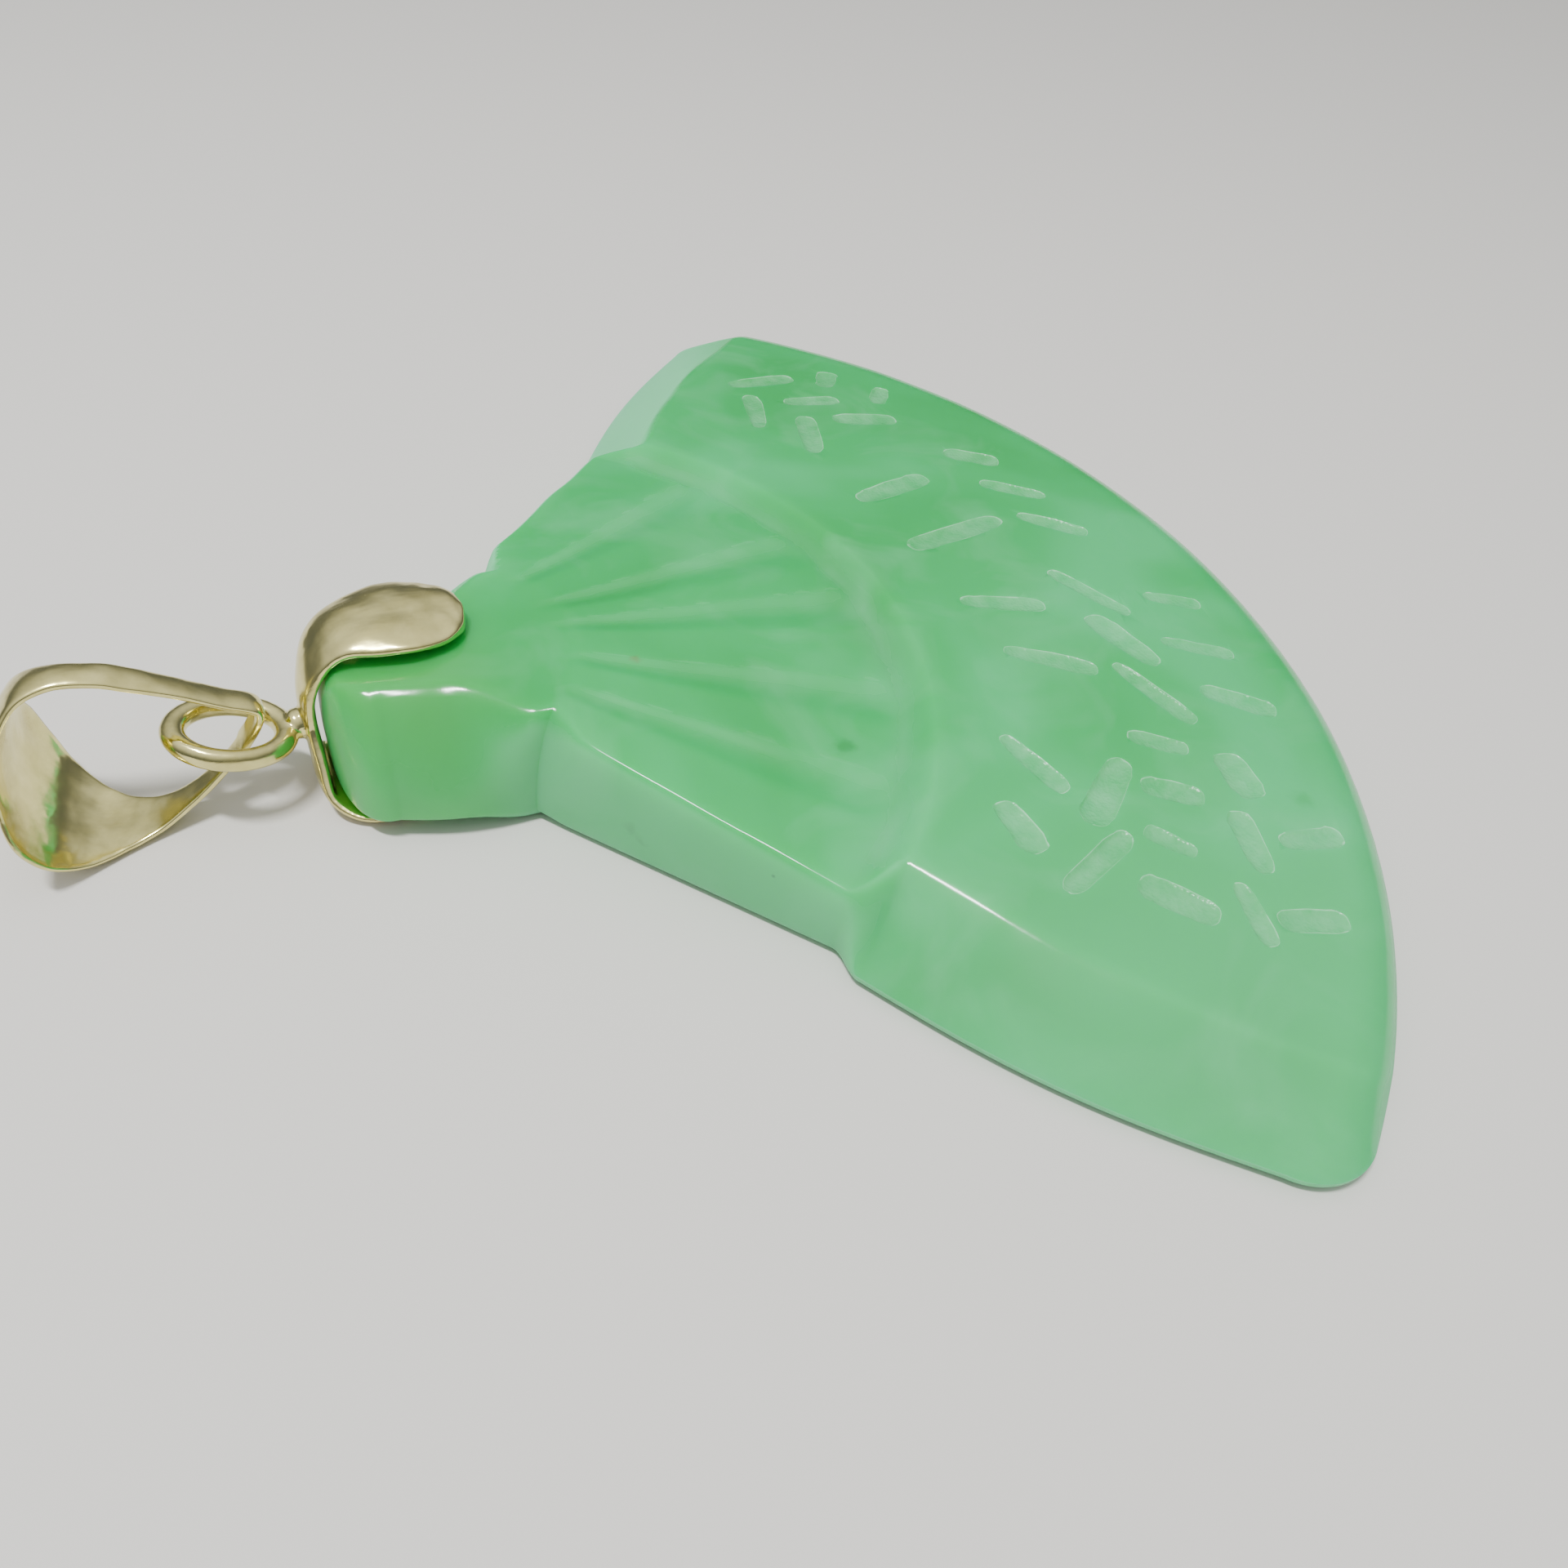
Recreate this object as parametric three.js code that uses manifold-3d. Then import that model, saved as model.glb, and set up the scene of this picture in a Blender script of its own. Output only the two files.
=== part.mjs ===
// Carved jadeite pendant in the form of a folding fan, with a gold claw, ring and bail.
// It lies on its flat back. Millimetres: +X runs from the bail to the fan's round edge,
// +Z is up out of the carved face, and the origin is under the middle of the whole object.
import * as THREE from 'three';
import { LoftGeometry } from 'three/addons/geometries/LoftGeometry.js';
import { mergeVertices } from 'three/addons/utils/BufferGeometryUtils.js';
import Module from 'manifold-3d';

const wasm = await Module();
wasm.setup();

// The fan in plan. The stone's neck is at x = 0 and its folds fan out from a point behind it.
const degree = Math.PI / 180;
const pivotX = -1.42;
const spread = 50.7 * degree;
const ribEdgeOut = 0.64;
const leafEdgeOut = 1.12;
const leafEdgeBulge = 0.35;
const stepStart = 10.35;
const stepEnd = 11.2;
const roundCentreX = -0.15;
const roundRadius = 20.15;
const cornerRadius = 1.4;

// The knob that the claw holds, in plan
const knobEndX = -3.64;
const knobShoulderX = -2.6;
const knobHalfWidth = 2.5;
const knobBulge = 0.16;
const knobCornerPower = 2.4;
const knobRowBow = 0.1;
const knobWaist = 0.16;
const notchX = -0.08;
const notchHalfWidth = 2.95;

// Heights of the stone
const knobTop = 2.95;
const neckTop = 2.77;
const ribEndTop = 1.71;
const leafStartTop = 2.02;
const leafEndTop = 1.3;
const topStepStart = 10.4;
const topStepEnd = 11.3;
const fanEdgeHeight = 0.35;
const knobEdgeHeight = 0.6;
const knobUnderside = 0.42;

// Width and fullness of the sloped sides, from the outline in to the top
const sideSlope = { knob: 1.65, ribs: 0.4, leaf: 2.0 };
const sideFullness = { knob: 1.4, ribs: 2.1, leaf: 1.05 };
const knobEndSlope = 0.7;
const knobEndFullness = 3;
const roundSlope = 1.3;
const roundFullness = 2.2;
const undersideRounding = 0.35;
const widestSlopeShare = 0.75;
const neckReach = 3.4;

// Folds and the line where the ribs meet the leaf
const foldAngles = [-38.2, -20.7, -0.7, 14, 33.7];
const foldStart = 2.6;
const foldEnd = 10.45;
const foldDepth = [0.05, 0.15];
const foldSteepWidth = [0.12, 0.6];
const foldGentleWidth = [0.18, 0.9];
const scoreRadius = 10.55;
const scoreHalfWidth = 0.2;
const scoreDepth = 0.05;
const scoreEndAngle = 48;

// Gold claw: a strip bent round the knob, leaf-shaped above and below it
const upperThickness = 0.36;
const lowerThickness = 0.28;
const stripEdgeShare = 0.35;
const upperDome = 0.12;
const lowerDome = 0.05;
const clawStations = [
  { x: -0.26, z: 3.15, half: 0.12 },
  { x: -0.4, z: 3.16, half: 0.62 },
  { x: -0.8, z: 3.19, half: 1.0 },
  { x: -1.5, z: 3.25, half: 1.22 },
  { x: -2.2, z: 3.27, half: 1.14 },
  { x: -2.95, z: 3.18, half: 0.92 },
  { x: -3.44, z: 2.85, half: 0.8 },
  { x: -3.75, z: 2.25, half: 0.64 },
  { x: -3.84, z: 1.6, half: 0.5 },
  { x: -3.83, z: 0.98, half: 0.72 },
  { x: -3.77, z: 0.46, half: 1.05 },
  { x: -3.26, z: 0.21, half: 1.35 },
  { x: -2.4, z: 0.2, half: 1.52 },
  { x: -1.6, z: 0.2, half: 1.3 },
  { x: -1.15, z: 0.2, half: 0.85 },
  { x: -0.95, z: 0.2, half: 0.15 },
];
const clawLean = 0.44;
const clawNeckZ = 1.6;

// Gold ring, soldered to the claw's bend
const ringMiddleRadius = 1.08;
const ringWireRadius = 0.25;
const ringOval = 0.82;
const ringTilt = 15 * degree;
const ringCentre = new THREE.Vector3(-5.4, -0.18, 1.86);
const solderRadius = 0.3;
const solderCentre = new THREE.Vector3(-4.12, -0.05, 1.62);

// Gold bail: a leaf-shaped strip closed into a loop, with its narrow end through the ring
const bailLength = 4.78;
const bailHalfHeight = { lower: 2.41, upper: 2.68 };
const bailTaper = { lower: 1.0, upper: 1.62 };
const bailEndX = -4.58;
const bailEndY = -0.12;
const bailEndZ = 2.32;
const bailTurn = 0.06;
const bailPitch = 0.09;
const bailNarrowHalf = { lower: 0.2, upper: 0.32 };
const bailWidestHalf = 1.78;
const bailWideAt = 0.45;
const bailWideSpan = { lower: 0.14, upper: 0.11 };
const bailFlare = 0.02;
const bailSway = 0.26;
const bailThickness = 0.2;
const bailDome = 0.06;
const bailTipTurn = 0.13;

const jadeColour = 0x74c48c;
const goldColour = 0xd9bb6c;

function clamp01(t) {
  return Math.min(1, Math.max(0, t));
}

function smooth(t) {
  const c = clamp01(t);
  return c * c * (3 - 2 * c);
}

function mix(a, b, t) {
  return a + (b - a) * t;
}

// Rise of a rounded side: 0 at the outline, 1 where it reaches the top
function rise(distance, width, fullness) {
  const t = clamp01(distance / width);
  return Math.pow(1 - Math.pow(1 - t, fullness), 1 / fullness);
}

// A closed mesh with shared corners and without collapsed triangles
function weld(geometry) {
  const bare = new THREE.BufferGeometry().copy(geometry);
  bare.deleteAttribute('normal');
  bare.deleteAttribute('uv');
  const welded = mergeVertices(bare, 1e-4);
  const kept = [];
  const index = welded.getIndex();
  for (let i = 0; i < index.count; i += 3) {
    const [a, b, c] = [index.getX(i), index.getX(i + 1), index.getX(i + 2)];
    if (a !== b && b !== c && c !== a) kept.push(a, b, c);
  }
  welded.setIndex(kept);
  return welded;
}

function toSolid(geometry) {
  const welded = weld(geometry);
  return new wasm.Manifold(new wasm.Mesh({
    numProp: 3,
    vertProperties: new Float32Array(welded.getAttribute('position').array),
    triVerts: new Uint32Array(welded.getIndex().array),
  }));
}

function fromSolid(solid) {
  const mesh = solid.getMesh();
  const geometry = new THREE.BufferGeometry();
  geometry.setAttribute('position', new THREE.BufferAttribute(mesh.vertProperties, 3));
  geometry.setIndex(new THREE.BufferAttribute(mesh.triVerts, 1));
  geometry.computeVertexNormals();
  return geometry;
}

// A point on the far edge of the fan, by its distance along the edge from the pivot
function fanEdgePoint(along, leafLength) {
  const onLeaf = clamp01((along - stepEnd) / leafLength);
  const out = mix(ribEdgeOut, leafEdgeOut, smooth((along - stepStart) / (stepEnd - stepStart)))
    + leafEdgeBulge * Math.sin(Math.PI * onLeaf);
  return new THREE.Vector2(
    pivotX + along * Math.cos(spread) - out * Math.sin(spread),
    along * Math.sin(spread) + out * Math.cos(spread),
  );
}

// The corner between the leaf's straight edge and its round edge
function cornerArc() {
  const ahead = new THREE.Vector2(Math.cos(spread), Math.sin(spread));
  const outward = new THREE.Vector2(-Math.sin(spread), Math.cos(spread));
  const base = new THREE.Vector2(pivotX - roundCentreX, 0);
  base.addScaledVector(outward, leafEdgeOut - cornerRadius);
  const half = base.dot(ahead);
  const along = -half + Math.sqrt(half * half - base.lengthSq() + (roundRadius - cornerRadius) ** 2);
  const centre = base.clone().addScaledVector(ahead, along).add(new THREE.Vector2(roundCentreX, 0));
  const toRound = centre.clone().sub(new THREE.Vector2(roundCentreX, 0));
  return { centre, along, start: outward.angle(), end: toRound.angle() };
}

// One row of the stone's surface: where it meets the far edge, where it crosses the middle,
// and how far along the stone it lies (0 knob, 1 ribs, 2 leaf)
function stoneRows() {
  const rows = [];
  const knobEndRows = 8;
  for (let i = 0; i < knobEndRows; i += 1) {
    const turn = (i / knobEndRows) * Math.PI / 2;
    const edgeX = knobShoulderX - (knobShoulderX - knobEndX) * Math.cos(turn) ** (2 / knobCornerPower);
    const edgeY = knobHalfWidth * Math.sin(turn) ** (2 / knobCornerPower);
    const edge = new THREE.Vector2(edgeX, edgeY);
    rows.push({ edge, middle: edgeX + knobRowBow * Math.sin(turn), zone: 0 });
  }
  const notchMiddle = pivotX + Math.hypot(notchX - pivotX, notchHalfWidth);
  const knobSideRows = 6;
  for (let i = 0; i < knobSideRows; i += 1) {
    const t = i / knobSideRows;
    const edgeX = mix(knobShoulderX, notchX, t);
    const edgeY = mix(knobHalfWidth, notchHalfWidth, t) + knobBulge * Math.sin(Math.PI * t);
    rows.push({
      edge: new THREE.Vector2(edgeX, edgeY),
      middle: edgeX + mix(knobRowBow, notchMiddle - notchX, t * t),
      zone: smooth((t - 0.4) / 0.6) * 0.6,
    });
  }
  const corner = cornerArc();
  const notchAlong = (notchHalfWidth - ribEdgeOut * Math.cos(spread)) / Math.sin(spread);
  const stops = [notchAlong, notchAlong + 0.35, notchAlong + 0.8];
  for (let i = 1; i <= 7; i += 1) stops.push(mix(notchAlong + 0.8, stepStart, i / 7));
  for (let i = 1; i <= 4; i += 1) stops.push(mix(stepStart, stepEnd, i / 4));
  for (let i = 1; i <= 8; i += 1) stops.push(mix(stepEnd, corner.along, i / 8));
  for (const along of stops) {
    const edge = fanEdgePoint(along, corner.along - stepEnd);
    const zone = along < stepStart ? mix(0.6, 1, smooth((along - notchAlong) / 1.2))
      : 1 + smooth((along - stepStart) / (stepEnd - stepStart));
    rows.push({ edge, middle: pivotX + Math.hypot(edge.x - pivotX, edge.y), zone });
  }
  const cornerRows = 7;
  for (let i = 1; i <= cornerRows; i += 1) {
    const turn = mix(corner.start, corner.end, i / cornerRows);
    const outward = new THREE.Vector2(Math.cos(turn), Math.sin(turn));
    const edge = outward.multiplyScalar(cornerRadius).add(corner.centre);
    rows.push({ edge, middle: pivotX + Math.hypot(edge.x - pivotX, edge.y), zone: 2 });
  }
  // The last rows open out from the pivot's circles to the leaf's own round edge
  const last = rows[rows.length - 1].middle;
  const shortfall = roundCentreX + roundRadius - last;
  const leafMiddle = pivotX + stepEnd;
  for (const row of rows) {
    row.middle += shortfall * smooth((row.middle - leafMiddle) / (last - leafMiddle));
  }
  return rows;
}

// Points of a row run along a circle through both edges and the middle
function rowPoint(row, side) {
  const sag = Math.max(row.middle - row.edge.x, 1e-3);
  const radius = (row.edge.y ** 2 + sag ** 2) / (2 * sag);
  const angle = Math.atan2(row.edge.y, row.edge.x - (row.middle - radius)) * side;
  return new THREE.Vector2(row.middle - radius + radius * Math.cos(angle), radius * Math.sin(angle));
}

function rowHalfLength(row) {
  const sag = Math.max(row.middle - row.edge.x, 1e-3);
  const radius = (row.edge.y ** 2 + sag ** 2) / (2 * sag);
  return radius * Math.atan2(row.edge.y, row.edge.x - (row.middle - radius));
}

function byZone(values, zone) {
  return zone < 1 ? mix(values.knob, values.ribs, zone) : mix(values.ribs, values.leaf, zone - 1);
}

// Height of the carved top before its sides are sloped
function plateau(point) {
  const reach = Math.hypot(point.x - pivotX, point.y);
  const ribs = reach < neckReach
    ? mix(knobTop, neckTop, smooth(reach / neckReach))
    : mix(neckTop, ribEndTop, (reach - neckReach) / (stepStart - neckReach));
  const leaf = mix(leafStartTop, leafEndTop, (reach - stepEnd) / (roundRadius - stepEnd));
  return mix(ribs, leaf, smooth((reach - topStepStart) / (topStepEnd - topStepStart)));
}

// How far in the sloped side reaches, with the slight waist of the knob
function sideReach(row, half) {
  const onKnob = clamp01((row.edge.x - knobShoulderX) / (notchX - knobShoulderX));
  const waist = knobWaist * Math.sin(Math.PI * onKnob) ** 2;
  return Math.max(Math.min(byZone(sideSlope, row.zone) + waist, widestSlopeShare * half), 1e-3);
}

function stonePoint(row, fromEdge, side, top) {
  const half = rowHalfLength(row);
  const share = half > 0 ? 1 - fromEdge / half : 0;
  const point = rowPoint(row, side * share);
  const fromRound = roundRadius - Math.hypot(point.x - roundCentreX, point.y);
  const fromKnobEnd = point.x - knobEndX;
  const atKnob = 1 - smooth(row.zone / 0.9);
  const edgeHeight = mix(fanEdgeHeight, knobEdgeHeight, atKnob);
  if (top) {
    const up = rise(fromEdge, sideReach(row, half), byZone(sideFullness, row.zone))
      * rise(fromRound, roundSlope, roundFullness)
      * rise(fromKnobEnd, knobEndSlope, knobEndFullness);
    return new THREE.Vector3(point.x, point.y, mix(edgeHeight, plateau(point), up));
  }
  const down = rise(fromEdge, undersideRounding, 2)
    * rise(fromRound, undersideRounding, 2)
    * rise(fromKnobEnd, undersideRounding, 2);
  return new THREE.Vector3(point.x, point.y, mix(edgeHeight, knobUnderside * atKnob, down));
}

// One ring round the stone: over the top from the far edge to the near one, back underneath
function stoneSection(row) {
  const half = rowHalfLength(row);
  const edgeSteps = [0, 0.04, 0.12, 0.22, 0.4, 0.8, 1.2, 1.6, 2.0];
  const widest = edgeSteps[edgeSteps.length - 1];
  const shrink = Math.min(1, (widestSlopeShare * half) / widest);
  const spanSteps = 10;
  const stations = edgeSteps.map((step) => ({ fromEdge: step * shrink, side: 1 }));
  for (let i = 1; i < spanSteps; i += 1) {
    const across = mix(1, -1, i / spanSteps);
    const fromEdge = half - Math.abs(across) * (half - widest * shrink);
    stations.push({ fromEdge, side: Math.sign(across) || 1 });
  }
  for (const step of [...edgeSteps].reverse()) stations.push({ fromEdge: step * shrink, side: -1 });
  const back = stations.slice(1, -1).reverse();
  return [
    ...stations.map(({ fromEdge, side }) => stonePoint(row, fromEdge, side, true)),
    ...back.map(({ fromEdge, side }) => stonePoint(row, fromEdge, side, false)),
  ];
}

// A V-shaped cutter between two points on the top. Each end gives the width to its left and
// to its right and the depth.
function vCutter(start, end) {
  const along = new THREE.Vector2().subVectors(end.at, start.at).normalize();
  const left = new THREE.Vector2(-along.y, along.x);
  const clear = 0.3;
  const sections = [start, end].map(({ at, leftWidth, rightWidth, depth }) => {
    const top = plateau(at);
    const grow = (depth + clear) / depth;
    const l = at.clone().addScaledVector(left, leftWidth * grow);
    const r = at.clone().addScaledVector(left, -rightWidth * grow);
    return [
      new THREE.Vector3(at.x, at.y, top - depth),
      new THREE.Vector3(l.x, l.y, top + clear),
      new THREE.Vector3(r.x, r.y, top + clear),
    ];
  });
  return toSolid(new LoftGeometry(sections, { capStart: true, capEnd: true }));
}

function polar(reach, angle) {
  return new THREE.Vector2(pivotX + reach * Math.cos(angle), reach * Math.sin(angle));
}

// Each fold is one long cut, steep on its far side and gentle on its near side
function foldCutters() {
  return foldAngles.map((angle) => vCutter(
    {
      at: polar(foldStart, angle * degree),
      leftWidth: foldSteepWidth[0],
      rightWidth: foldGentleWidth[0],
      depth: foldDepth[0],
    },
    {
      at: polar(foldEnd, angle * degree),
      leftWidth: foldSteepWidth[1],
      rightWidth: foldGentleWidth[1],
      depth: foldDepth[1],
    },
  ));
}

// The ribs end at a line of straight strokes, one across each rib
function scoreCutters() {
  const ends = [-scoreEndAngle, ...foldAngles, scoreEndAngle];
  const stroke = { leftWidth: scoreHalfWidth, rightWidth: scoreHalfWidth, depth: scoreDepth };
  return ends.slice(1).map((angle, i) => vCutter(
    { at: polar(scoreRadius, ends[i] * degree), ...stroke },
    { at: polar(scoreRadius, angle * degree), ...stroke },
  ));
}

function jadeFan() {
  const sections = stoneRows().map(stoneSection);
  let stone = toSolid(new LoftGeometry(sections));
  for (const cutter of [...foldCutters(), ...scoreCutters()]) stone = stone.subtract(cutter);
  const material = new THREE.MeshStandardMaterial({ color: jadeColour, roughness: 0.25, metalness: 0 });
  const mesh = new THREE.Mesh(fromSolid(stone), material);
  mesh.name = 'jade_fan';
  return mesh;
}

// A ring round a bent gold strip: a thin, slightly domed leaf with rounded edges
function stripSection(centre, across, outward, half, thickness, dome) {
  const shares = [-1, -0.86, -0.5, 0, 0.5, 0.86, 1];
  const skin = (share, side) => {
    const bow = dome * (1 - share * share);
    const edge = Math.abs(share) === 1 ? stripEdgeShare : 1;
    return centre.clone()
      .addScaledVector(across, half * share)
      .addScaledVector(outward, bow + side * edge * thickness / 2);
  };
  return [
    ...shares.map((share) => skin(share, 1)),
    ...[...shares].reverse().map((share) => skin(share, -1)),
  ];
}

function clawSolid() {
  const points = clawStations.map(({ x, z }) => new THREE.Vector3(x, clawLean * (z - clawNeckZ), z));
  const halves = clawStations.map(({ half }, i) => new THREE.Vector3(i, half, 0));
  const path = new THREE.CatmullRomCurve3(points);
  const widths = new THREE.CatmullRomCurve3(halves);
  const across = new THREE.Vector3(0, 1, 0);
  const steps = 44;
  const sections = [];
  for (let i = 0; i <= steps; i += 1) {
    const t = i / steps;
    const ahead = path.getTangent(t).setY(0).normalize();
    const outward = new THREE.Vector3().crossVectors(across, ahead);
    const half = widths.getPoint(t).y;
    const down = smooth(t * 2 - 0.5);
    const dome = mix(upperDome, lowerDome, down) * Math.min(1, half);
    const thickness = mix(upperThickness, lowerThickness, down);
    sections.push(stripSection(path.getPoint(t), across, outward, half, thickness, dome));
  }
  return toSolid(new LoftGeometry(sections, { capStart: true, capEnd: true }));
}

function ringSolid() {
  const ring = new THREE.TorusGeometry(ringMiddleRadius, ringWireRadius, 12, 40);
  ring.scale(1, ringOval, 1);
  ring.rotateY(ringTilt);
  ring.translate(ringCentre.x, ringCentre.y, ringCentre.z);
  return toSolid(ring);
}

function solderSolid() {
  const bead = new THREE.SphereGeometry(solderRadius, 12, 8);
  bead.scale(0.7, 1, 1);
  bead.translate(solderCentre.x, solderCentre.y, solderCentre.z);
  return toSolid(bead);
}

// Claw, solder and ring are one rigid piece
function clawWithRing() {
  const solid = clawSolid().add(ringSolid()).add(solderSolid());
  const material = new THREE.MeshStandardMaterial({ color: goldColour, roughness: 0.25, metalness: 1 });
  const mesh = new THREE.Mesh(fromSolid(solid), material);
  mesh.name = 'claw_with_ring';
  return mesh;
}

// Half the bail's width, by the share of the way round from the ring
function bailHalf(share) {
  const limb = share < bailWideAt ? 'lower' : 'upper';
  const away = Math.abs(share - bailWideAt) / bailWideSpan[limb];
  return mix(bailNarrowHalf[limb], bailWidestHalf, Math.exp(-(away ** 2)));
}

function bail() {
  const turn = new THREE.Euler(0, -bailPitch, -bailTurn, 'ZYX');
  const ahead = new THREE.Vector3(-1, 0, 0).applyEuler(turn);
  const across = new THREE.Vector3(0, 1, 0).applyEuler(turn);
  const toNear = across.clone().negate();
  const upward = new THREE.Vector3().crossVectors(across, ahead);
  const end = new THREE.Vector3(bailEndX, bailEndY, bailEndZ);
  const loopPoint = (share) => {
    const angle = 2 * Math.PI * share;
    const limb = share < 0.5 ? 'lower' : 'upper';
    const length = bailLength * (1 - Math.cos(angle)) / 2;
    const height = -bailHalfHeight[limb] * Math.sin(angle) * Math.sin(Math.PI * share) ** bailTaper[limb];
    return new THREE.Vector3(length, height, 0);
  };
  // The loop closes with a small round turn instead of running on to its sharp end
  const spans = 16;
  const shares = [];
  for (let i = 0; i <= spans; i += 1) shares.push(mix(bailTipTurn, 1 - bailTipTurn, i / spans));
  const tip = loopPoint(bailTipTurn);
  const outline = shares.map(loopPoint);
  outline.push(new THREE.Vector3(tip.x - Math.abs(tip.y) * 0.8, 0, 0));
  const loop = new THREE.CatmullRomCurve3(outline, true, 'centripetal');
  const steps = 64;
  const sections = [];
  for (let i = 0; i < steps; i += 1) {
    const t = i / steps;
    const flat = loop.getPoint(t);
    const tangent = loop.getTangent(t);
    const share = mix(bailTipTurn, 1 - bailTipTurn, t * (spans + 1) / spans);
    const half = bailHalf(Math.min(share, 1 - bailTipTurn));
    const outward = ahead.clone().multiplyScalar(tangent.y).addScaledVector(upward, -tangent.x);
    const dome = bailDome * Math.min(1, half);
    const ring = stripSection(new THREE.Vector3(), toNear, outward, half, bailThickness, dome);
    const flare = (point) => 1 - bailFlare * point.dot(across);
    // The lower limb hangs a little towards the near side
    sections.push(ring.map((point) => point.clone()
      .addScaledVector(across, bailSway * Math.min(0, flat.y))
      .addScaledVector(ahead, flat.x * flare(point))
      .addScaledVector(upward, flat.y * flare(point))
      .add(end)));
  }
  sections.push(sections[0].map((point) => point.clone()));
  const material = new THREE.MeshStandardMaterial({ color: goldColour, roughness: 0.25, metalness: 1 });
  const mesh = new THREE.Mesh(fromSolid(toSolid(new LoftGeometry(sections))), material);
  mesh.name = 'bail';
  return mesh;
}

const pendant = new THREE.Group();
pendant.add(jadeFan(), clawWithRing(), bail());

const box = new THREE.Box3().setFromObject(pendant);
const middle = box.getCenter(new THREE.Vector3());
pendant.position.set(-middle.x, -middle.y, -box.min.z);

export default pendant;
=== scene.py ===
# Jade folding fan pendant with its gold claw, ring and bail, lying loose on a pale floor.
# Pieces are built in millimetres on the stone's own axes and brought to metres at the end.
import math
import random

import bpy
import numpy as np
from mathutils import Euler, Matrix, Vector, noise


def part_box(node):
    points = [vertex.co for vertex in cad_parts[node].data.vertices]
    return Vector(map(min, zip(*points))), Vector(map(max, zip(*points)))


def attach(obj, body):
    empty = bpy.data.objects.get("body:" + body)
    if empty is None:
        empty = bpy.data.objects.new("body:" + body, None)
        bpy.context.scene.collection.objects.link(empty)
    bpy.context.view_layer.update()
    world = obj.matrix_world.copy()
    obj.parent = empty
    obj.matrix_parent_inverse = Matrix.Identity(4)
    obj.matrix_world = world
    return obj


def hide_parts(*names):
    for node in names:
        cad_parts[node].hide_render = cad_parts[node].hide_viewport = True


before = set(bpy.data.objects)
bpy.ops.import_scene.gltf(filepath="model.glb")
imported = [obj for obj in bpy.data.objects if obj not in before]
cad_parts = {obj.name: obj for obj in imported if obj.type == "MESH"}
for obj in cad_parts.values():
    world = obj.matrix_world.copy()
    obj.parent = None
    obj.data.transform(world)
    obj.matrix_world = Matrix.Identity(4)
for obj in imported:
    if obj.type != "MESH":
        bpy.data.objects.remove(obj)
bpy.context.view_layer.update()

mm = 0.001

# The stone's neck is at x = 0 on its own axes, and the top of its round edge is at x = 20
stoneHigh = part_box("jade_fan")[1]
neckPlace = Vector((stoneHigh.x / mm - 20.0, 0.0, 0.0))


# Camera
camera = {
    "place": (-3.478, -21.119, 19.863),      # mm, on the stone's axes
    "right": (0.9152, -0.3961, 0.0748),
    "ahead": (0.3278, 0.6231, -0.7101),
    "focalPixels": 1497.75,                   # on a picture 1920 pixels wide
}


def addCamera():
    data = bpy.data.cameras.new("photoCamera")
    data.sensor_width = 36.0
    data.lens = camera["focalPixels"] * data.sensor_width / 1920.0
    data.clip_start = 0.001
    data.clip_end = 5.0
    right = Vector(camera["right"]).normalized()
    ahead = Vector(camera["ahead"]).normalized()
    up = right.cross(ahead).normalized()
    right = ahead.cross(up).normalized()
    turn = Matrix((right, up, -ahead)).transposed().to_4x4()
    place = (Vector(camera["place"]) + neckPlace) * mm
    holder = bpy.data.objects.new("photoCamera", data)
    holder.matrix_world = Matrix.Translation(place) @ turn
    bpy.context.scene.collection.objects.link(holder)
    bpy.context.scene.camera = holder


addCamera()
print("camera placed")


# Small helpers
def linear(hexColour):
    channels = [int(hexColour[i:i + 2], 16) / 255 for i in (1, 3, 5)]
    return [c / 12.92 if c <= 0.04045 else ((c + 0.055) / 1.055) ** 2.4 for c in channels] + [1.0]


def perSize(millimetres):
    # scale of a pattern on Object coordinates, which are in metres
    return 1000.0 / millimetres


def addNode(tree, kind, settings=None, inputs=None):
    node = tree.nodes.new(kind)
    for key, value in (settings or {}).items():
        setattr(node, key, value)
    for key, value in (inputs or {}).items():
        if isinstance(value, bpy.types.NodeSocket):
            tree.links.new(value, node.inputs[key])
        else:
            node.inputs[key].default_value = value
    return node


def newMaterial(name):
    material = bpy.data.materials.new(name)
    material.use_nodes = True
    material.node_tree.nodes.clear()
    return material, material.node_tree


def clamp01(value):
    return min(1.0, max(0.0, value))


def smooth(value):
    c = clamp01(value)
    return c * c * (3 - 2 * c)


def mix(a, b, t):
    return a + (b - a) * t


def deselectAll():
    if bpy.context.object and bpy.context.object.mode != "OBJECT":
        bpy.ops.object.mode_set(mode="OBJECT")
    bpy.ops.object.select_all(action="DESELECT")


def makeActive(piece):
    deselectAll()
    piece.select_set(True)
    bpy.context.view_layer.objects.active = piece


def applyModifier(piece, kind, **settings):
    makeActive(piece)
    modifier = piece.modifiers.new(kind.title(), kind)
    for key, value in settings.items():
        setattr(modifier, key, value)
    bpy.ops.object.modifier_apply(modifier=modifier.name)


def mergeAndTurnOut(piece):
    makeActive(piece)
    bpy.ops.object.mode_set(mode="EDIT")
    bpy.ops.mesh.select_all(action="SELECT")
    bpy.ops.mesh.remove_doubles(threshold=0.001)
    bpy.ops.mesh.normals_make_consistent(inside=False)
    bpy.ops.object.mode_set(mode="OBJECT")
    # a thin wide blank can come out inside out
    highest = max(piece.data.vertices, key=lambda vertex: vertex.co.z)
    if highest.normal.z < 0:
        bpy.ops.object.mode_set(mode="EDIT")
        bpy.ops.mesh.flip_normals()
        bpy.ops.object.mode_set(mode="OBJECT")


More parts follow.
